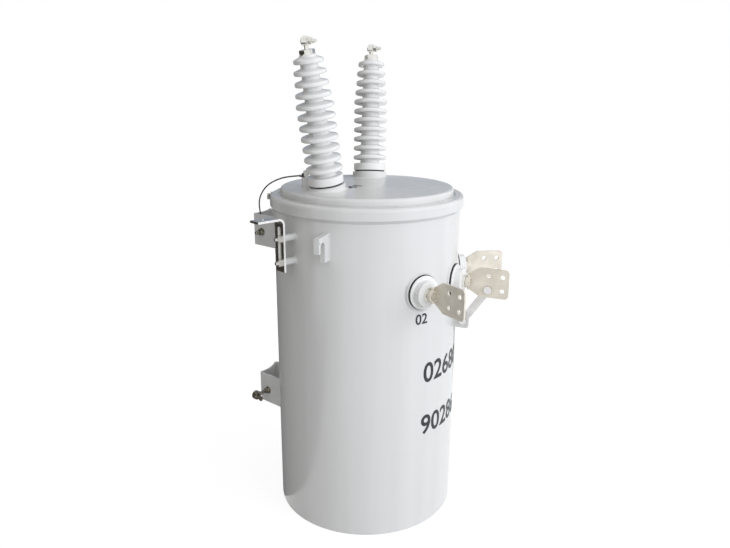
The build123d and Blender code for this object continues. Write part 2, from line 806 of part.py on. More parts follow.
# Arrester brackets: a slotted bar on two standoffs, bent out at the top
bar_r = tank_r + arrester_standoff_len
arrester_top = tank_h - arrester_top_drop
arrester_low = arrester_top - arrester_h
arrester_heights = [tank_h - drop for drop in arrester_standoff_drops]
for side, sign in sides.items():
    azimuth = arrester_azimuth * sign
    with BuildPart() as arrester_standoffs:
        for height in arrester_heights:
            with BuildSketch(radial_plane(azimuth, tank_r - overrun, height)):
                Circle(arrester_standoff_d / 2)
            extrude(amount=arrester_standoff_len + overrun)
        Cylinder(
            tank_r + curve_gap,
            tank_h,
            align=(Align.CENTER, Align.CENTER, Align.MIN),
            mode=Mode.SUBTRACT,
        )
    save(arrester_standoffs, f"arrester_standoffs_{side}")

    with BuildPart() as arrester_nuts:
        for height in arrester_heights:
            with BuildSketch(radial_plane(azimuth, bar_r, height)):
                Circle(arrester_stud_d / 2)
            extrude(amount=arrester_t + arrester_nut_t + arrester_stud_tail)
            with BuildSketch(radial_plane(azimuth, bar_r + arrester_t, height)):
                hexagon(arrester_nut_flats)
            extrude(amount=arrester_nut_t)
    save(arrester_nuts, f"arrester_nuts_{side}")

    with BuildPart() as arrester_bracket:
        with BuildSketch(side_plane(azimuth, 0, 0)):
            with BuildLine() as bar_line:
                bend_low = arrester_top - arrester_t
                leg = Line((bar_r + arrester_t, arrester_low), (bar_r + arrester_t, bend_low))
                Line(leg @ 1, (bar_r + arrester_reach, bend_low))
                fillet(bar_line.vertices().group_by(Axis.Y)[-1].sort_by(Axis.X)[0], arrester_bend)
                offset(amount=arrester_t, side=Side.LEFT)
            make_face()
        extrude(amount=arrester_w / 2, both=True)
        slot_low = arrester_low + arrester_slot_inset
        slot_high = arrester_top - arrester_t - arrester_bend - arrester_slot_inset / 2
        with BuildSketch(radial_plane(azimuth, bar_r - overrun, (slot_low + slot_high) / 2)):
            SlotOverall(slot_high - slot_low, arrester_slot_w, rotation=90)
        extrude(amount=arrester_t + 2 * overrun, mode=Mode.SUBTRACT)
        hole_r = bar_r + arrester_reach - arrester_hole_edge
        hole_centre = outward(azimuth) * hole_r + Vector(0, 0, arrester_top + overrun)
        with BuildSketch(Plane(origin=hole_centre, z_dir=(0, 0, -1))):
            Circle(arrester_hole_d / 2)
        extrude(amount=arrester_t + 2 * overrun, mode=Mode.SUBTRACT)
    save(arrester_bracket, f"arrester_bracket_{side}")

# Lifting lugs: thick hooked plates that stand out from the tank wall
lug_top = tank_h - lug_drop
lug_end_r = tank_r + lug_reach
for side, sign in sides.items():
    azimuth = lug_azimuth * sign
    with BuildPart() as lifting_lug:
        with BuildSketch(side_plane(azimuth, lug_t / 2, 0)):
            slot_in_r = tank_r + lug_slot_from_tank
            nose_top = lug_top - lug_nose_top_drop
            nose_low = lug_top - lug_root_h + lug_nose_low_rise
            with BuildLine():
                Polyline(
                    (tank_r - overrun, lug_top),
                    (tank_r + overrun, lug_top),
                    (lug_end_r, nose_top),
                    (lug_end_r, nose_low),
                    (slot_in_r + lug_slot_w, nose_low),
                    (slot_in_r + lug_slot_w, lug_top - lug_slot_top_drop),
                    (slot_in_r, lug_top - lug_slot_top_drop),
                    (slot_in_r, lug_top - lug_root_h),
                    (tank_r - overrun, lug_top - lug_root_h),
                    close=True,
                )
            hook = make_face()
            arch = hook.vertices().filter_by_position(
                Axis.Y, lug_top - lug_slot_top_drop, lug_top - lug_slot_top_drop
            )
            fillet(arch, lug_slot_w / 2 - curve_gap)
            fillet(hook.vertices().group_by(Axis.X)[-1].sort_by(Axis.Y)[-1], lug_nose_fillet)
            nose_t = lug_reach - lug_slot_from_tank - lug_slot_w
            with Locations((lug_end_r - nose_t / 2, nose_top - lug_slot_w / 2)):
                Circle(lug_hole_d / 2, mode=Mode.SUBTRACT)
        extrude(amount=lug_t)
        Cylinder(
            tank_r + curve_gap,
            tank_h,
            align=(Align.CENTER, Align.CENTER, Align.MIN),
            mode=Mode.SUBTRACT,
        )
    save(lifting_lug, f"lifting_lug_{side}")

# Cover ground post, and the bolt and tab that hold the wire on it
post_centre = outward(post_azimuth) * (crown_r - post_inset) + Vector(0, 0, crown_top)
post_foot = Plane(origin=post_centre, z_dir=(0, 0, 1))
with BuildPart() as cover_ground_post:
    with BuildSketch(post_foot):
        Circle(post_d / 2)
    extrude(amount=post_h)
    with Locations((0, 0, dome_centre)):
        Sphere(dome_r + curve_gap, mode=Mode.SUBTRACT)
save(cover_ground_post, "cover_ground_post")

wire_start = Vector(*wire_route[0])
tab_way = Vector(wire_start.X - post_centre.X, wire_start.Y - post_centre.Y, 0).normalized()
tab_plane = Plane(origin=post_centre + Vector(0, 0, post_h), x_dir=tab_way, z_dir=(0, 0, 1))
barrel_reach = post_d / 2 + curve_gap
barrel_start = tab_plane.offset(post_tab_t / 2).origin + tab_way * barrel_reach
with BuildPart() as post_bolt:
    with BuildSketch(tab_plane):
        with Locations((post_tab_len / 2 - post_tab_w / 2, 0)):
            Rectangle(post_tab_len, post_tab_w)
    extrude(amount=post_tab_t)
    with BuildSketch(tab_plane.offset(post_tab_t)):
        hexagon(post_bolt_flats)
    extrude(amount=post_bolt_t)
    with BuildSketch(tab_plane.offset(post_tab_t + post_bolt_t)):
        Circle(post_bolt_d / 2)
    extrude(amount=post_bolt_tail)
    with BuildSketch(Plane(origin=barrel_start, z_dir=tab_way)):
        Circle(post_barrel_d / 2)
    extrude(amount=post_barrel_len)
save(post_bolt, "post_bolt")

# Ground wire
runs = [Vector(*b) - Vector(*a) for a, b in zip(wire_route, wire_route[1:])]
bends = []
for before, after in zip(runs, runs[1:]):
    turn = before.get_angle(after)
    shorter = min(before.length, after.length)
    bends.append(wire_bend_share * shorter / tan(radians(turn / 2)))
print("wire bend radii", [round(bend, 1) for bend in bends])
with BuildPart() as ground_wire:
    with BuildLine() as wire_line:
        FilletPolyline(*wire_route, radius=bends)
    with BuildSketch(Plane(origin=wire_route[0], z_dir=runs[0])):
        Circle(wire_d / 2)
    sweep()
save(ground_wire, "ground_wire")
print("wire length", round(sum(edge.length for edge in wire_line.edges()), 1))
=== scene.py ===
import json
import math

import bmesh
import bpy
from mathutils import Matrix, Vector


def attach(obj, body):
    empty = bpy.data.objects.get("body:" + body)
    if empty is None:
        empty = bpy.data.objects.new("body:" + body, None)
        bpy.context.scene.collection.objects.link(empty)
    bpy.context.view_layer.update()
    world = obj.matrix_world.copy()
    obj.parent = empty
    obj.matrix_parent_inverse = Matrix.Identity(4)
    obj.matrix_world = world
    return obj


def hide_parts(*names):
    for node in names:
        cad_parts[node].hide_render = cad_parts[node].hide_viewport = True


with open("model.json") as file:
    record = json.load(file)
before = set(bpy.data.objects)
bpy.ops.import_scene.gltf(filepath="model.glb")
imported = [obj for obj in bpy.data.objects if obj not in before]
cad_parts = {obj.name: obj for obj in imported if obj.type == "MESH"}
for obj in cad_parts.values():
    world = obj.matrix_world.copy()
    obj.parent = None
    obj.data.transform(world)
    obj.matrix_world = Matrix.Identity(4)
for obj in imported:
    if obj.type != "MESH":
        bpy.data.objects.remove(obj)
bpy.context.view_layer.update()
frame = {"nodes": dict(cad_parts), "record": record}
nodes = frame["nodes"]
scene = bpy.context.scene
mm = 0.001
print("frame loaded:", len(nodes), "nodes")

# camera solved from the photograph: plan distance from the tank's axis, height, tilt and focal length
camera = {
    "focalPixels": 669.57,
    "imageWidth": 730,
    "sensor": 36.0,
    "azimuth": -66.0,      # degrees from the front, towards +X
    "distance": 2151.19,
    "height": 1403.28,
    "pitch": 15.8695,
    "yaw": -0.14295,
    "roll": 0.22668,
}


def placeCamera(spec):
    data = bpy.data.cameras.new("photoCamera")
    data.sensor_width = spec["sensor"]
    data.sensor_fit = "HORIZONTAL"
    data.lens = spec["focalPixels"] / spec["imageWidth"] * spec["sensor"]
    cam = bpy.data.objects.new("photoCamera", data)
    scene.collection.objects.link(cam)
    pitch, yaw, roll = (math.radians(spec[k]) for k in ("pitch", "yaw", "roll"))
    turn = Matrix.Rotation(math.radians(spec["azimuth"]), 4, "Z")
    forward = Vector((math.sin(yaw) * math.cos(pitch), math.cos(yaw) * math.cos(pitch), -math.sin(pitch)))
    right = Vector((math.cos(yaw), -math.sin(yaw), 0))
    up = right.cross(forward)
    right, up = right * math.cos(roll) + up * math.sin(roll), up * math.cos(roll) - right * math.sin(roll)
    basis = Matrix((right, up, -forward)).transposed().to_4x4()
    cam.matrix_world = turn @ Matrix.Translation(Vector((0, -spec["distance"], spec["height"])) * mm) @ basis
    scene.camera = cam


placeCamera(camera)
print("camera placed")


# one sRGB hex value to linear
def hexColour(text):
    channels = [int(text[i:i + 2], 16) / 255 for i in (1, 3, 5)]
    return [c / 12.92 if c <= 0.04045 else ((c + 0.055) / 1.055) ** 2.4 for c in channels] + [1.0]


# adds one node with its settings, links and plain values
def addNode(tree, kind, settings=None, links=None, values=None):
    node = tree.nodes.new(kind)
    for key, value in (settings or {}).items():
        setattr(node, key, value)
    for key, value in (values or {}).items():
        node.inputs[key].default_value = value
    for socket, source in (links or {}).items():
        tree.links.new(source, node.inputs[socket])
    return node


# cut edges of a bar bent round the tank, painted pale and less metallic: a painted highlight for the light they
# catch;
# faces that look sideways, neither out from the axis nor up
def paleCutEdgeHighlight(tree, shader, place, colour, spec):
    level = addNode(tree, "ShaderNodeVectorMath", {"operation": "MULTIPLY"}, {0: place.outputs["Object"]},
                    {1: (1.0, 1.0, 0.0)})
    out = addNode(tree, "ShaderNodeVectorMath", {"operation": "NORMALIZE"}, {0: level.outputs[0]})
    side = addNode(tree, "ShaderNodeVectorMath", {"operation": "CROSS_PRODUCT"}, {0: out.outputs[0]},
                   {1: (0.0, 0.0, 1.0)})
    look = addNode(tree, "ShaderNodeVectorMath", {"operation": "DOT_PRODUCT"},
                   {0: side.outputs[0], 1: place.outputs["Normal"]})
    size = addNode(tree, "ShaderNodeMath", {"operation": "ABSOLUTE"}, {0: look.outputs["Value"]})
    share = addNode(tree, "ShaderNodeMapRange", None, {"Value": size.outputs[0]},
                    {"From Min": spec["cutEdgeHighlight"]["from"], "From Max": spec["cutEdgeHighlight"]["full"]})
    metal = addNode(tree, "ShaderNodeMapRange", None, {"Value": share.outputs[0]},
                    {"To Min": spec["plain"]["Metallic"], "To Max": spec["cutEdgeHighlight"]["metallic"]})
    tree.links.new(metal.outputs[0], shader.inputs["Metallic"])
    pale = addNode(tree, "ShaderNodeMix", {"data_type": "RGBA"}, {0: share.outputs[0], 6: colour},
                   {7: hexColour(spec["cutEdgeHighlight"]["tone"])})
    return pale.outputs[2]


# a finish in three layers: two tones in patches, a gloss that wanders and one or more reliefs
# patch and relief sizes are in millimetres, and a stretch below 1 draws the pattern out along that axis
def makeFinish(spec):
    material = bpy.data.materials.new(spec["name"])
    material.use_nodes = True
    tree = material.node_tree
    shader = tree.nodes["Principled BSDF"]
    for socket, value in spec.get("plain", {}).items():
        shader.inputs[socket].default_value = value
    place = addNode(tree, "ShaderNodeTexCoord")

    def patches(size, stretch, low, high, soft):
        mapping = addNode(tree, "ShaderNodeMapping", None, {"Vector": place.outputs["Object"]},
                          {"Scale": stretch})
        noise = addNode(tree, "ShaderNodeTexNoise", None, {"Vector": mapping.outputs[0]},
                        {"Scale": 1 / (size * mm), "Detail": 3.0})
        ranged = addNode(tree, "ShaderNodeMapRange", None, {"Value": noise.outputs["Fac"]},
                         {"From Min": 0.5 - soft, "From Max": 0.5 + soft, "To Min": low, "To Max": high})
        return ranged.outputs[0]

    stretch = spec.get("stretch", (1.0, 1.0, 1.0))
    tone = addNode(tree, "ShaderNodeMix", {"data_type": "RGBA"},
                   {0: patches(spec["patch"], stretch, 0.0, 1.0, spec.get("soft", 0.2))},
                   {6: hexColour(spec["tones"][0]), 7: hexColour(spec["tones"][1])})
    colour = tone.outputs[2]
    # painted highlight: sideways cut edges turned pale and less metallic
    if "cutEdgeHighlight" in spec:
        colour = paleCutEdgeHighlight(tree, shader, place, colour, spec)
    tree.links.new(colour, shader.inputs["Base Color"])
    gloss = patches(spec["patch"] / 3, stretch, spec["rough"][0], spec["rough"][1], 0.25)
    tree.links.new(gloss, shader.inputs["Roughness"])
    below = None
    for size, depth, strength, pull in spec.get("reliefs", ()):
        relief = addNode(tree, "ShaderNodeBump", None, {"Height": patches(size, pull, 0.0, 1.0, 0.3)},
                         {"Strength": strength, "Distance": depth * mm})
        if below:
            tree.links.new(below.outputs[0], relief.inputs["Normal"])
        below = relief
    if below:
        tree.links.new(below.outputs[0], shader.inputs["Normal"])
    return material


even = (1.0, 1.0, 1.0)
finishes = {
    # gloss enamel sprayed over rolled steel: light grey with faint upright bands, partly roll marks and partly
    # painted reflection of upright light streaks, a soft mirror of the room and a fine orange peel, drawn
    # coarser than it is so that it shows
    "tank_paint": makeFinish({
        "name": "greyEnamel", "tones": ("#D5D5D3", "#DBDBD9"), "patch": 70.0, "stretch": (1.0, 1.0, 0.05),
        "rough": (0.2, 0.26), "reliefs": [(2.4, 0.05, 0.25, even)],
        "plain": {"Coat Weight": 0.3, "Coat Roughness": 0.08}}),
    # glazed porcelain: dipped and fired, a pale grey that pools a little and mirrors sharply
    "porcelain": makeFinish({
        "name": "glazedPorcelain", "tones": ("#E2E2E0", "#EAEAE8"), "patch": 40.0,
        "rough": (0.16, 0.22), "reliefs": [(18.0, 0.35, 0.2, even)],
        "plain": {"Coat Weight": 0.5, "Coat Roughness": 0.04}}),
    # moulded rubber: black with a grey bloom
    "gasket_rubber": makeFinish({
        "name": "nitrileRubber", "tones": ("#121212", "#232323"), "patch": 8.0,
        "rough": (0.55, 0.7), "reliefs": [(1.2, 0.1, 0.5, even)]}),
    # tinned cast bronze: dull warm silver with darker handling stains and fine casting grain
    "tinned_terminal": makeFinish({
        "name": "tinnedBronze", "tones": ("#DAD4C6", "#EEE7DA"), "patch": 34.0,
        "rough": (0.4, 0.5), "reliefs": [(1.6, 0.04, 0.3, even)], "plain": {"Metallic": 0.4}}),
    # tinned copper strip: rolled, so its drag lines run along it
    "tinned_strap": makeFinish({
        "name": "tinnedStrip", "tones": ("#D2D0CD", "#E4E3E1"), "patch": 20.0,
        "rough": (0.3, 0.42), "reliefs": [(2.0, 0.05, 0.4, (1.0, 0.2, 0.12))], "plain": {"Metallic": 0.75}}),
    # zinc plated steel: bright where it faces light, with a fine spangle and grey patches, and a painted
    # highlight on its sideways cut edges, pale and less metallic
    "zinc_steel": makeFinish({
        "name": "zincPlatedSteel", "tones": ("#C6C5C2", "#D6D5D3"), "patch": 30.0,
        "rough": (0.22, 0.3), "reliefs": [(3.0, 0.03, 0.2, (1.0, 1.0, 0.3))], "plain": {"Metallic": 1.0},
        "cutEdgeHighlight": {"tone": "#EFEEEB", "metallic": 0.15, "from": 0.6, "full": 0.9}}),
    # bronze fittings in small random patches, nearly black and pale: painted dark reflection and painted
    # highlight for the dark and bright sides of the room that the shiny metal mirrors
    "bronze_fitting": makeFinish({
        "name": "bronzeWithPaintedGlints", "tones": ("#575147", "#C9C3B7"), "patch": 6.0, "soft": 0.15,
        "rough": (0.15, 0.26), "reliefs": [(2.0, 0.1, 0.4, even)], "plain": {"Metallic": 0.9}}),
    # drawn vinyl jacket: dark grey, satin
    "wire_jacket": makeFinish({
        "name": "vinylJacket", "tones": ("#2C2D2F", "#44464A"), "patch": 9.0, "rough": (0.36, 0.48)}),
}
# bright plating on the terminals and arrester nuts, which mirrors the light and dark sides of the room
brightTin = makeFinish({
    "name": "brightTin", "tones": ("#DAD9D4", "#F1F0EC"), "patch": 14.0, "soft": 0.2,
    "rough": (0.1, 0.18), "reliefs": [(2.5, 0.04, 0.25, even)], "plain": {"Metallic": 1.0}})
# zinc on the band's bolt, painted a dull grey brown: painted dark reflection, for the dark side of the room that
# this small bolt mirrors
darkReflectionZinc = makeFinish({
    "name": "darkReflectionZinc", "tones": ("#6B685F", "#A5A299"), "patch": 5.0,
    "rough": (0.35, 0.5), "plain": {"Metallic": 0.6}})
# stencil paint for the numbers: flat black, a little thin in places
stencilPaint = makeFinish({
    "name": "stencilPaint", "tones": ("#17191D", "#2A2D33"), "patch": 5.0, "rough": (0.35, 0.5)})

slotOf = {s["node"]: s["material_slot"] for s in frame["record"]["subparts"]}
for name, obj in nodes.items():
    bright = name.startswith(("hv_nut", "hv_eyebolt", "hv_clamp_bolt", "arrester_nuts", "lv_stud"))
    # the band's bolt takes the zinc with painted dark reflection
    finish = brightTin if bright else darkReflectionZinc if name == "band_bolt" else finishes[slotOf[name]]
    obj.data.materials.clear()
    obj.data.materials.append(finish)
print("finishes set")


# azimuths are degrees from the front, towards +X
def outward(azimuth):
    return Vector((math.sin(math.radians(azimuth)), -math.cos(math.radians(azimuth)), 0))


def across(azimuth):
    return Vector((math.cos(math.radians(azimuth)), math.sin(math.radians(azimuth)), 0))


# a finished piece: rides on the body and stands for the CAD nodes it hides
def addPiece(name, data, stands=()):
    piece = bpy.data.objects.new(name, data)
    scene.collection.objects.link(piece)
    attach(piece, "root")
    if stands:
        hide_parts(*stands)
    return piece


def meshFrom(name, points, faces, finish):
    mesh = bpy.data.meshes.new(name)
    mesh.from_pydata(points, [], faces)
    mesh.polygons.foreach_set("use_smooth", [True] * len(mesh.polygons))
    mesh.materials.append(finish)
    return mesh


# ground wire: the route of the CAD tube, in millimetres
groundWire = {
    "diameter": 4.6,
    "length": 0.325,
    "route": [(-114.0, 182.5, 1122.5), (-97.5, 233.5, 1115.0), (-83.0, 276.0, 1104.0), (-69.2, 317.8, 1086.5),
              (-59.9, 345.8, 1068.8), (-51.9, 369.8, 1042.4), (-48.4, 380.3, 1018.9), (-48.3, 380.7, 994.8),
              (-50.5, 374.5, 969.0), (-53.9, 362.0, 941.0)],
}


def makeWire(spec):
    curve = bpy.data.curves.new("groundWire", "CURVE")
    curve.dimensions = "3D"
    curve.bevel_depth = spec["diameter"] / 2 * mm
    curve.bevel_resolution = 4
    curve.use_fill_caps = True
    spline = curve.splines.new("NURBS")
    spline.points.add(len(spec["route"]) - 1)
    for point, place in zip(spline.points, spec["route"]):
        point.co = (*(c * mm for c in place), 1.0)
    spline.order_u = 3
    spline.use_endpoint_u = True
    spline.resolution_u = 12
    curve.materials.append(finishes["wire_jacket"])
    piece = addPiece("groundWire", curve, ("ground_wire",))


makeWire(groundWire)
print("ground wire laid")

# high voltage porcelain: one turned body with a collar and rounded sheds that narrow near the top
porcelain = {
    "azimuth": 111.0,
    "seatRadius": 174.0,
    "seatHeight": 1110.0,
    "tilt": 10.0,
    "gasket": 4.5,
    "height": 373.0,
    "collarRadius": 54.0,
    "collarHeight": 23.5,
    "collarEdge": 3.0,
    "footEdge": 1.0,
    "topEdge": 1.5,
    "coreLow": 33.0,
    "coreTop": 24.5,
    "shedRadius": 56.0,
    "shedShares": (1.0, 1.0, 1.0, 1.0, 1.0, 1.0, 1.0, 0.94, 0.885, 0.85, 0.78),
    "shedFirst": 43.0,
    "shedSpacing": 31.2,
    "rim": 6.0,
    "rimRound": 0.92,      # share of the rim that is rounded off
    "rise": 7.0,
    "undercut": 2.0,
    "rootRound": 4.0,
    "turnSteps": 72,
}


# points of an arc that rounds the corner at b between a and c, and takes less than half of each side
def roundCorner(a, b, c, radius, steps=5, most=0.48):
    a, b, c = Vector(a), Vector(b), Vector(c)
    toA, toC = (a - b).normalized(), (c - b).normalized()
    half = toA.angle(toC) / 2
    reach = min(radius / math.tan(half), most * (a - b).length, most * (c - b).length)
    start, end = b + toA * reach, b + toC * reach
    return [start.lerp(b, t).lerp(b.lerp(end, t), t) for t in (i / steps for i in range(steps + 1))]


def shedProfile(spec):
    def core(height):
        share = (height - spec["collarHeight"]) / (spec["height"] - spec["collarHeight"])
        return spec["coreLow"] + (spec["coreTop"] - spec["coreLow"]) * share

    edge = [((0.0, 0.0), 0), ((spec["collarRadius"], 0.0), spec["footEdge"]),
            ((spec["collarRadius"], spec["collarHeight"]), spec["collarEdge"]),
            ((core(spec["collarHeight"]), spec["collarHeight"]), spec["rootRound"])]
    for index, share in enumerate(spec["shedShares"]):
        middle = spec["shedFirst"] + spec["shedSpacing"] * index
        tip = spec["shedRadius"] * share
        low, high = middle - spec["rim"], middle + spec["rim"]
        edge.append(((core(low), low + spec["undercut"]), spec["rootRound"]))
        edge.append(((tip, low), spec["rim"] * spec["rimRound"]))
        edge.append(((tip, high), spec["rim"] * spec["rimRound"]))
        edge.append(((core(high), high + spec["rise"]), spec["rootRound"]))
    edge += [((core(spec["height"]), spec["height"]), spec["topEdge"]), ((0.0, spec["height"]), 0)]
    outline = [Vector(edge[0][0])]
    for (a, _), (b, radius), (c, _) in zip(edge, edge[1:], edge[2:]):
        outline += roundCorner(a, b, c, radius) if radius else [Vector(b)]
    return outline + [Vector(edge[-1][0])]


# turns an outline of (radius, height) round an axis
def turned(name, outline, foot, axis, steps, finish):
    side = axis.orthogonal().normalized()
    other = axis.cross(side)
    points, faces, rows = [], [], []
    for radius, height in outline:
        middle = foot + axis * height * mm
        if radius < 1e-6:
            rows.append([len(points)] * steps)
            points.append(middle)
            continue
        rows.append([len(points) + i for i in range(steps)])
        for i in range(steps):
            angle = 2 * math.pi * i / steps
            points.append(middle + (side * math.cos(angle) + other * math.sin(angle)) * radius * mm)
    for low, high in zip(rows, rows[1:]):
        for i in range(steps):
            j = (i + 1) % steps
            face = list(dict.fromkeys((low[i], low[j], high[j], high[i])))
            if len(face) > 2:
                faces.append(face)
    return meshFrom(name, points, faces, finish)


def porcelainAxis(spec, sign):
    out = outward(spec["azimuth"] * sign)
    tilt = math.radians(spec["tilt"])
    axis = out * math.sin(tilt) + Vector((0, 0, math.cos(tilt)))
    seat = out * spec["seatRadius"] * mm + Vector((0, 0, spec["seatHeight"] * mm))
    return seat + axis * spec["gasket"] * mm, axis


def makePorcelain(spec):
    outline = shedProfile(spec)
    for side, sign in (("left", -1), ("right", 1)):
        foot, axis = porcelainAxis(spec, sign)
        mesh = turned("hvPorcelain." + side, outline, foot, axis, spec["turnSteps"], finishes["porcelain"])
        addPiece("hvPorcelain." + side, mesh, ("hv_bushing_" + side,))


makePorcelain(porcelain)
print("porcelain turned")


# sealing bead in the groove between the cover's crown and its band, painted over: (radius, height) all round
coverBead = {
    "section": [(276.9, 1049.3), (285.4, 1049.3), (285.4, 1065.0), (283.6, 1063.4), (281.6, 1062.8),
                (279.6, 1063.5), (278.0, 1065.4), (276.9, 1068.2), (276.9, 1049.3)],
    "turnSteps": 180,
}
beadMesh = turned("coverBead", coverBead["section"], Vector(), Vector((0, 0, 1)), coverBead["turnSteps"],
                  finishes["tank_paint"])
addPiece("coverBead", beadMesh)
print("cover bead laid")


# runs a node tree along a mesh of paths and keeps the result as one plain mesh
def grow(name, tree, sizes, paths, radii=None):
    points, edges, marks = [], [], []
    for index, path in enumerate(paths):
        edges += [(len(points) + i, len(points) + i + 1) for i in range(len(path) - 1)]
        points += [Vector(p) * mm for p in path]
        marks += [radii[index] * mm if radii else 0.0] * len(path)
    mesh = bpy.data.meshes.new(name + ".paths")
    mesh.from_pydata(points, edges, [])
    mesh.attributes.new("studRadius", "FLOAT", "POINT").data.foreach_set("value", marks)
    carrier = bpy.data.objects.new(name + ".paths", mesh)
    scene.collection.objects.link(carrier)
    modifier = carrier.modifiers.new(name, "NODES")
    modifier.node_group = tree
    for socket in tree.interface.items_tree:
        if socket.item_type == "SOCKET" and socket.in_out == "INPUT" and socket.name in sizes:
            modifier[socket.identifier] = sizes[socket.name]
    ready = carrier.evaluated_get(bpy.context.evaluated_depsgraph_get())
    result = bpy.data.meshes.new_from_object(ready)
    result.name = name
    carrier.modifiers.clear()
    bpy.data.objects.remove(carrier)
    return addPiece(name, result)


def newTree(name, sizes):
    tree = bpy.data.node_groups.new(name, "GeometryNodeTree")
    tree.interface.new_socket("Geometry", in_out="INPUT", socket_type="NodeSocketGeometry")
    tree.interface.new_socket("Geometry", in_out="OUTPUT", socket_type="NodeSocketGeometry")
    for size in sizes:
        tree.interface.new_socket(size, in_out="INPUT", socket_type="NodeSocketFloat")
    return tree, addNode(tree, "NodeGroupInput")


# realised, smoothed and given its finish at the end of a tree
def closeTree(tree, instances, finish):
    real = addNode(tree, "GeometryNodeRealizeInstances", None, {0: instances})
    smooth = addNode(tree, "GeometryNodeSetShadeSmooth", None, {"Geometry": real.outputs[0]})
    painted = addNode(tree, "GeometryNodeSetMaterial", None, {"Geometry": smooth.outputs[0]},
                      {"Material": finish})
    addNode(tree, "NodeGroupOutput", None, {0: painted.outputs[0]})


# weld beads: small overlapping drops along each seam
weld = {
    "beadRadius": 2.6,
    "beadSpacing": 3.2,
    "swell": (0.85, 1.1),      # least and most size of a drop
    "seed": 7,
    "tankRadius": 300.0,
    "ringSteps": 48,
}


def weldTree(finish, spec):
    tree, given = newTree("weldBeads", ("beadRadius", "beadSpacing"))
    line = addNode(tree, "GeometryNodeMeshToCurve", None, {0: given.outputs["Geometry"]})
    drops = addNode(tree, "GeometryNodeResampleCurve", {"mode": "LENGTH"},
                    {"Curve": line.outputs[0], "Length": given.outputs["beadSpacing"]})
    drop = addNode(tree, "GeometryNodeMeshUVSphere", None, {"Radius": given.outputs["beadRadius"]},
                   {"Segments": 8, "Rings": 5})
    swell = addNode(tree, "FunctionNodeRandomValue", {"data_type": "FLOAT"})
    for socket, value in ((2, spec["swell"][0]), (3, spec["swell"][1]), (8, spec["seed"])):
        swell.inputs[socket].default_value = value
    laid = addNode(tree, "GeometryNodeInstanceOnPoints", None,
                   {"Points": drops.outputs[0], "Instance": drop.outputs[0], "Scale": swell.outputs[1]})
    closeTree(tree, laid.outputs[0], finish)
    return tree


# a point on the tank wall at an offset along the wall's tangent
def onWall(azimuth, offset, height, radius):
    level = outward(azimuth) * math.sqrt(radius ** 2 - offset ** 2) + across(azimuth) * offset
    return level + Vector((0, 0, height))


def ringOnWall(azimuth, ring, height, spec):
    turns = [2 * math.pi * i / spec["ringSteps"] for i in range(spec["ringSteps"] + 1)]
    return [onWall(azimuth, ring * math.cos(a), height + ring * math.sin(a), spec["tankRadius"])
            for a in turns]


# seams of the bosses, standoffs, lugs and hanger flanges
seams = {
    "lvBosses": {"azimuths": (-32.4, 0.0, 32.4), "height": 808.0, "ring": 58.6},
    "standoffs": {"azimuths": (-112.0, 112.0), "heights": (966.0, 894.5), "ring": 11.0},
    "liftingLugs": {"azimuths": (-88.6, 88.6), "offsets": (-8.4, 8.4), "low": 912.0, "high": 991.0},
    "groundLug": {"azimuths": (0.0,), "offsets": (10.6, 17.4), "low": 651.0, "high": 697.0},
    "hangers": {"offsets": (-81.2, -74.6, 74.6, 81.2), "heights": (920.0, 329.45), "half": 53.0},
}


def seamPaths(spec, wall):
    boss, post = spec["lvBosses"], spec["standoffs"]
    paths = [ringOnWall(a, boss["ring"], boss["height"], wall) for a in boss["azimuths"]]
    paths += [ringOnWall(a, post["ring"], h, wall) for a in post["azimuths"] for h in post["heights"]]
    for plate in (spec["liftingLugs"], spec["groundLug"]):
        for azimuth in plate["azimuths"]:
            paths += [[onWall(azimuth, o, plate["low"], wall["tankRadius"]),
                       onWall(azimuth, o, plate["high"], wall["tankRadius"])] for o in plate["offsets"]]
    hanger = spec["hangers"]
    for height in hanger["heights"]:
        paths += [[onWall(180.0, o, height - hanger["half"], wall["tankRadius"]),
                   onWall(180.0, o, height + hanger["half"], wall["tankRadius"])] for o in hanger["offsets"]]
    return paths


grow("weldBeads", weldTree(finishes["tank_paint"], weld),
     {"beadRadius": weld["beadRadius"] * mm, "beadSpacing": weld["beadSpacing"] * mm},
     seamPaths(seams, weld))
print("welds laid")

# thread ridges on the bolt ends, coarser than the real pitch so that they show
threads = {
    "ridgePitch": 2.2,
    "ridgeRise": 1.05,      # times the stud's radius
    "rootShare": 0.9,
    "clampTail": {"radius": 5.0, "rise": 36.5, "start": 20.5, "end": 30.0},
    "arresterStud": {"radius": 6.0, "azimuths": (-112.0, 112.0), "heights": (966.0, 894.5),
                     "start": 365.0, "end": 368.6},
    "postBolt": {"radius": 5.0, "azimuth": -142.0, "reach": 200.0, "start": 1133.5, "end": 1139.2},
    "flange": {"web": (-50.0, 402.0), "root": (-84.0, 280.0), "half": 3.0, "inset": 41.0},
    "bondBolt": {"radius": 6.0, "height": 915.0, "start": 13.5, "end": 26.6},
    "groundStud": {"radius": 6.0, "height": 324.45, "start": 13.5, "end": 32.0},
}


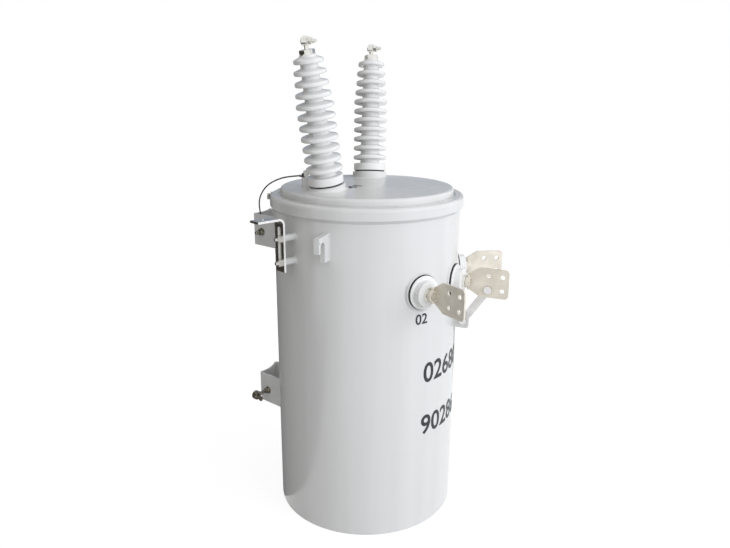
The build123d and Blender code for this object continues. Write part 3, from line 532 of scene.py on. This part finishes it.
def threadTree():
    tree, given = newTree("threadRidges", ("ridgePitch", "ridgeRise", "rootShare"))
    line = addNode(tree, "GeometryNodeMeshToCurve", None, {0: given.outputs["Geometry"]})
    steps = addNode(tree, "GeometryNodeResampleCurve", {"mode": "LENGTH"},
                    {"Curve": line.outputs[0], "Length": given.outputs["ridgePitch"]})
    ridge = addNode(tree, "GeometryNodeMeshCone", None,
                    {"Radius Top": given.outputs["rootShare"], "Radius Bottom": given.outputs["ridgeRise"]},
                    {"Vertices": 16, "Depth": 1.0})
    way = addNode(tree, "GeometryNodeInputTangent")
    turn = addNode(tree, "FunctionNodeAlignRotationToVector", {"axis": "Z"}, {"Vector": way.outputs[0]})
    radius = addNode(tree, "GeometryNodeInputNamedAttribute", {"data_type": "FLOAT"}, None,
                     {"Name": "studRadius"})
    size = addNode(tree, "ShaderNodeCombineXYZ", None, {"X": radius.outputs[0], "Y": radius.outputs[0],
                                                        "Z": given.outputs["ridgePitch"]})
    laid = addNode(tree, "GeometryNodeInstanceOnPoints", None,
                   {"Points": steps.outputs[0], "Instance": ridge.outputs[0], "Rotation": turn.outputs[0],
                    "Scale": size.outputs[0]})
    return tree, laid.outputs[0]


# the left hanger flange's outward way and the place of its bolt, both level
def flangeBolt(spec):
    web, root = Vector(spec["web"]), Vector(spec["root"])
    way = (root - web).normalized()
    normal = Vector((way.y, -way.x))
    return web + normal * spec["half"] + way * spec["inset"], normal


def studLines(spec, bushing):
    lines = {"tin": [], "zinc": [], "bronze": []}
    tail = spec["clampTail"]
    for sign in (-1, 1):
        foot, axis = porcelainAxis(bushing, sign)
        eye = foot / mm + axis * (bushing["height"] + tail["rise"])
        ends = [eye + Vector((0, -tail[k], 0)) for k in ("start", "end")]
        lines["tin"].append((ends, tail["radius"]))
    stud = spec["arresterStud"]
    for azimuth in stud["azimuths"]:
        for height in stud["heights"]:
            ends = [outward(azimuth) * stud[k] + Vector((0, 0, height)) for k in ("start", "end")]
            lines["zinc"].append((ends, stud["radius"]))
    post = spec["postBolt"]
    foot = outward(post["azimuth"]) * post["reach"]
    lines["zinc"].append(([foot + Vector((0, 0, post[k])) for k in ("start", "end")], post["radius"]))
    place, normal = flangeBolt(spec["flange"])
    for bolt in (spec["bondBolt"], spec["groundStud"]):
        ends = [place + normal * bolt[k] for k in ("start", "end")]
        lines["bronze"].append(([Vector((*e, bolt["height"])) for e in ends], bolt["radius"]))
    return lines


for metal, finish, slot in (("tin", brightTin, "tinned_terminal"),
                            ("zinc", finishes["zinc_steel"], "zinc_steel"),
                            ("bronze", finishes["bronze_fitting"], "bronze_fitting")):
    tree, ridges = threadTree()
    closeTree(tree, ridges, finish)
    lines = studLines(threads, porcelain)[metal]
    grow(metal + "Threads", tree, {"ridgePitch": threads["ridgePitch"] * mm, "ridgeRise": threads["ridgeRise"],
                                   "rootShare": threads["rootShare"]},
         [line for line, _ in lines], [radius for _, radius in lines])
print("threads cut")

# plain stencilled digits under the bushings, on the cover and on the wall
numbers = {
    "lift": 0.35,
    "thickness": 0.15,
    "weight": 0.016,       # how far each stroke is fattened, times the size
    "strip": 6.0,          # a number is cut into strips this wide, so that it bends with the wall
    "wall": [
        {"text": "02", "azimuth": -32.4, "height": 707.0, "size": 46.0, "middle": True},
        {"text": "04", "azimuth": 0.0, "height": 707.0, "size": 46.0, "middle": True},
        {"text": "06", "azimuth": 32.4, "height": 707.0, "size": 46.0, "middle": True},
        {"text": "02680", "azimuth": -30.0, "height": 509.0, "size": 92.0},
        {"text": "90286", "azimuth": -31.0, "height": 331.0, "size": 92.0},
    ],
    "cover": [
        {"text": "41", "place": (-93.0, -14.0), "size": 46.0, "turn": -8.0, "stretch": 1.5},
    ],
    "crownTop": 1088.0,
    "crownRadius": 277.0,
    "dome": 10.0,
}


# a flat text as a mesh in millimetres, its strokes a little heavy
def textMesh(text, size, spec, middle):
    curve = bpy.data.curves.new("number", "FONT")
    curve.body = text
    curve.size = size
    curve.align_x = "CENTER" if middle else "LEFT"
    curve.extrude = spec["thickness"]
    curve.offset = size * spec["weight"]
    curve.resolution_u = 4
    carrier = bpy.data.objects.new("number", curve)
    scene.collection.objects.link(carrier)
    mesh = bpy.data.meshes.new_from_object(carrier.evaluated_get(bpy.context.evaluated_depsgraph_get()))
    bpy.data.objects.remove(carrier)
    return mesh


def stripped(mesh, width):
    work = bmesh.new()
    work.from_mesh(mesh)
    bmesh.ops.remove_doubles(work, verts=work.verts, dist=0.001)
    low = min(v.co.x for v in work.verts)
    high = max(v.co.x for v in work.verts)
    for i in range(1, int((high - low) / width) + 1):
        bmesh.ops.bisect_plane(work, geom=work.verts[:] + work.edges[:] + work.faces[:],
                               plane_co=(low + i * width, 0, 0), plane_no=(1, 0, 0))
    work.to_mesh(mesh)
    work.free()


def makeNumbers(spec, wallRadius):
    points, faces = [], []

    def gather(mesh, moved):
        start = len(points)
        points.extend(moved(v.co) * mm for v in mesh.vertices)
        faces.extend([start + i for i in p.vertices] for p in mesh.polygons)

    for row in spec["wall"]:
        mesh = textMesh(row["text"], row["size"], spec, row.get("middle", False))
        stripped(mesh, spec["strip"])

        def onTank(co, row=row):
            azimuth = row["azimuth"] + math.degrees(co.x / wallRadius)
            out = outward(azimuth) * (wallRadius + spec["lift"] + co.z)
            return out + Vector((0, 0, row["height"] + co.y))

        gather(mesh, onTank)
    for mark in spec["cover"]:
        mesh = textMesh(mark["text"], mark["size"], spec, True)
        turn = Matrix.Rotation(math.radians(mark["turn"]), 3, "Z")
        place = Vector((*mark["place"], 0))

        def onCover(co, mark=mark, place=place, turn=turn):
            spot = place + turn @ Vector((co.x * mark["stretch"], co.y, 0))
            rise = spec["dome"] * (1 - spot.length_squared / spec["crownRadius"] ** 2)
            return spot + Vector((0, 0, spec["crownTop"] + rise + spec["lift"] + co.z))

        gather(mesh, onCover)
    mesh = meshFrom("stencilNumbers", points, faces, stencilPaint)
    mesh.polygons.foreach_set("use_smooth", [False] * len(mesh.polygons))
    addPiece("stencilNumbers", mesh)


makeNumbers(numbers, weld["tankRadius"])
print("numbers stencilled")

# studio: pale floor, soft light from the camera's right, a world that is white to the camera
studio = {
    "floorSize": 80.0,
    "floorColour": "#C8C8C8",
    "floorRough": 0.9,
    "floorWhite": 1.27,
    "floorShare": 0.7,
    "lightSide": (-0.27, -0.94, 0.14),      # where the soft light is strongest
    "lightWrap": (-0.42, 0.35),             # from the dim side to the full side
    "lightHigh": 1.0,
    "lightLow": 0.12,
    "lightColour": "#FCFCFC",
    "lamps": {
        "keyLamp": {"place": (-0.85, -2.9, 1.75), "size": 2.2, "power": 49.0, "colour": "#EFF3FF"},
        # for the hidden side
        "backLamp": {"place": (3.1, 1.4, 1.0), "size": 2.4, "power": 44.0, "colour": "#F8FAFF"},
    },
    "aim": (0, 0, 0.75),
    # in order: left of the view, for bare metal, for the cover, for the left edges, on the floor
    "cards": [
        {"angle": 88.0, "distance": 3.2, "size": (5.6, 4.4), "level": 0.4, "colour": "#FFFEF8"},
        {"angle": 117.0, "distance": 2.3, "size": (2.2, 3.4), "level": 0.05, "colour": "#FFF0DA"},
        {"angle": 20.0, "distance": 3.4, "size": (5.0, 3.3), "level": 0.56, "colour": "#D2DDEE", "low": 1.15},
        {"angle": 44.0, "distance": 3.3, "size": (2.4, 1.15), "level": 0.12, "colour": "#FFFFFF"},
        {"angle": 72.0, "distance": 1.75, "size": (4.4, 3.2), "level": 0.16, "colour": "#FFFFFF", "flat": 0.004},
    ],
}


def rayShare(tree):
    path = addNode(tree, "ShaderNodeLightPath")
    seen = addNode(tree, "ShaderNodeMath", {"operation": "MAXIMUM"},
                   {0: path.outputs["Is Camera Ray"], 1: path.outputs["Is Glossy Ray"]})
    seen = addNode(tree, "ShaderNodeMath", {"operation": "MAXIMUM"},
                   {0: seen.outputs[0], 1: path.outputs["Is Transmission Ray"]})
    return seen.outputs[0]


def makeFloor(spec):
    half = spec["floorSize"] / 2
    mesh = bpy.data.meshes.new("floor")
    corners = [(-half, -half, 0), (half, -half, 0), (half, half, 0), (-half, half, 0)]
    mesh.from_pydata(corners, [], [(0, 1, 2, 3)])
    floor = bpy.data.objects.new("floor", mesh)
    scene.collection.objects.link(floor)
    material = bpy.data.materials.new("paleFloor")
    material.use_nodes = True
    tree = material.node_tree
    shader = tree.nodes["Principled BSDF"]
    shader.inputs["Base Color"].default_value = hexColour(spec["floorColour"])
    shader.inputs["Roughness"].default_value = spec["floorRough"]
    white = addNode(tree, "ShaderNodeEmission", None, None, {"Strength": spec["floorWhite"]})
    share = addNode(tree, "ShaderNodeMath", {"operation": "MULTIPLY"}, {0: rayShare(tree)},
                    {1: spec["floorShare"]})
    mix = addNode(tree, "ShaderNodeMixShader", None,
                  {0: share.outputs[0], 1: shader.outputs[0], 2: white.outputs[0]})
    tree.links.new(mix.outputs[0], tree.nodes["Material Output"].inputs["Surface"])
    mesh.materials.append(material)


# a soft light that wraps round from one side, and plain white wherever the camera or a mirror sees it
def makeWorld(spec):
    world = bpy.data.worlds.new("studioWorld")
    scene.world = world
    world.use_nodes = True
    tree = world.node_tree
    back = tree.nodes["Background"]
    place = addNode(tree, "ShaderNodeTexCoord")
    side = addNode(tree, "ShaderNodeVectorMath", {"operation": "DOT_PRODUCT"},
                   {0: place.outputs["Generated"]}, {1: spec["lightSide"]})
    light = addNode(tree, "ShaderNodeMapRange", {"interpolation_type": "SMOOTHSTEP"},
                    {"Value": side.outputs["Value"]},
                    {"From Min": spec["lightWrap"][0], "From Max": spec["lightWrap"][1],
                     "To Min": spec["lightLow"], "To Max": spec["lightHigh"]})
    seen = rayShare(tree)
    level = addNode(tree, "ShaderNodeMix", None, {0: seen, 2: light.outputs[0]}, {3: 1.0})
    colour = addNode(tree, "ShaderNodeMix", {"data_type": "RGBA"}, {0: seen},
                     {6: hexColour(spec["lightColour"]), 7: hexColour("#FFFFFF")})
    tree.links.new(level.outputs[0], back.inputs["Strength"])
    tree.links.new(colour.outputs[2], back.inputs["Color"])


def facing(place, aim):
    return (Vector(aim) - Vector(place)).to_track_quat("-Z", "Y")


def makeLamp(name, spec, aim):
    data = bpy.data.lights.new(name, "AREA")
    data.shape = "DISK"
    data.size = spec["size"]
    data.energy = spec["power"]
    data.color = hexColour(spec["colour"])[:3]
    lamp = bpy.data.objects.new(name, data)
    scene.collection.objects.link(lamp)
    lamp.location = spec["place"]
    lamp.rotation_mode = "QUATERNION"
    lamp.rotation_quaternion = facing(spec["place"], aim)
    lamp.visible_camera = False
    lamp.visible_glossy = False


# grey cards, upright or lying flat, that only gloss and metal mirror, out of the camera's sight
def makeCard(name, spec):
    w, h = (side / 2 for side in spec["size"])
    angle = math.radians(spec["angle"])
    height = spec.get("flat") or spec.get("low", 0.0) + h
    place = Vector((math.cos(angle) * spec["distance"], math.sin(angle) * spec["distance"], height))
    mesh = bpy.data.meshes.new(name)
    mesh.from_pydata([(-w, -h, 0), (w, -h, 0), (w, h, 0), (-w, h, 0)], [], [(0, 1, 2, 3)])
    if spec.get("flat"):
        turn = Matrix.Rotation(angle - math.pi / 2, 4, "Z")
    else:
        turn = facing(place, (0, 0, height)).to_matrix().to_4x4()
    mesh.transform(Matrix.Translation(place) @ turn)
    material = bpy.data.materials.new("greyCard")
    material.use_nodes = True
    tree = material.node_tree
    grey = addNode(tree, "ShaderNodeEmission", None, None,
                   {"Strength": spec["level"], "Color": hexColour(spec["colour"])})
    tree.links.new(grey.outputs[0], tree.nodes["Material Output"].inputs["Surface"])
    mesh.materials.append(material)
    card = bpy.data.objects.new(name, mesh)
    scene.collection.objects.link(card)
    card.visible_camera = False
    card.visible_diffuse = False
    card.visible_shadow = False


makeFloor(studio)
makeWorld(studio)
for name, lamp in studio["lamps"].items():
    makeLamp(name, lamp, studio["aim"])
for number, card in enumerate(studio["cards"]):
    makeCard("greyCard." + str(number), card)
scene.view_settings.view_transform = "Standard"
print("studio made")
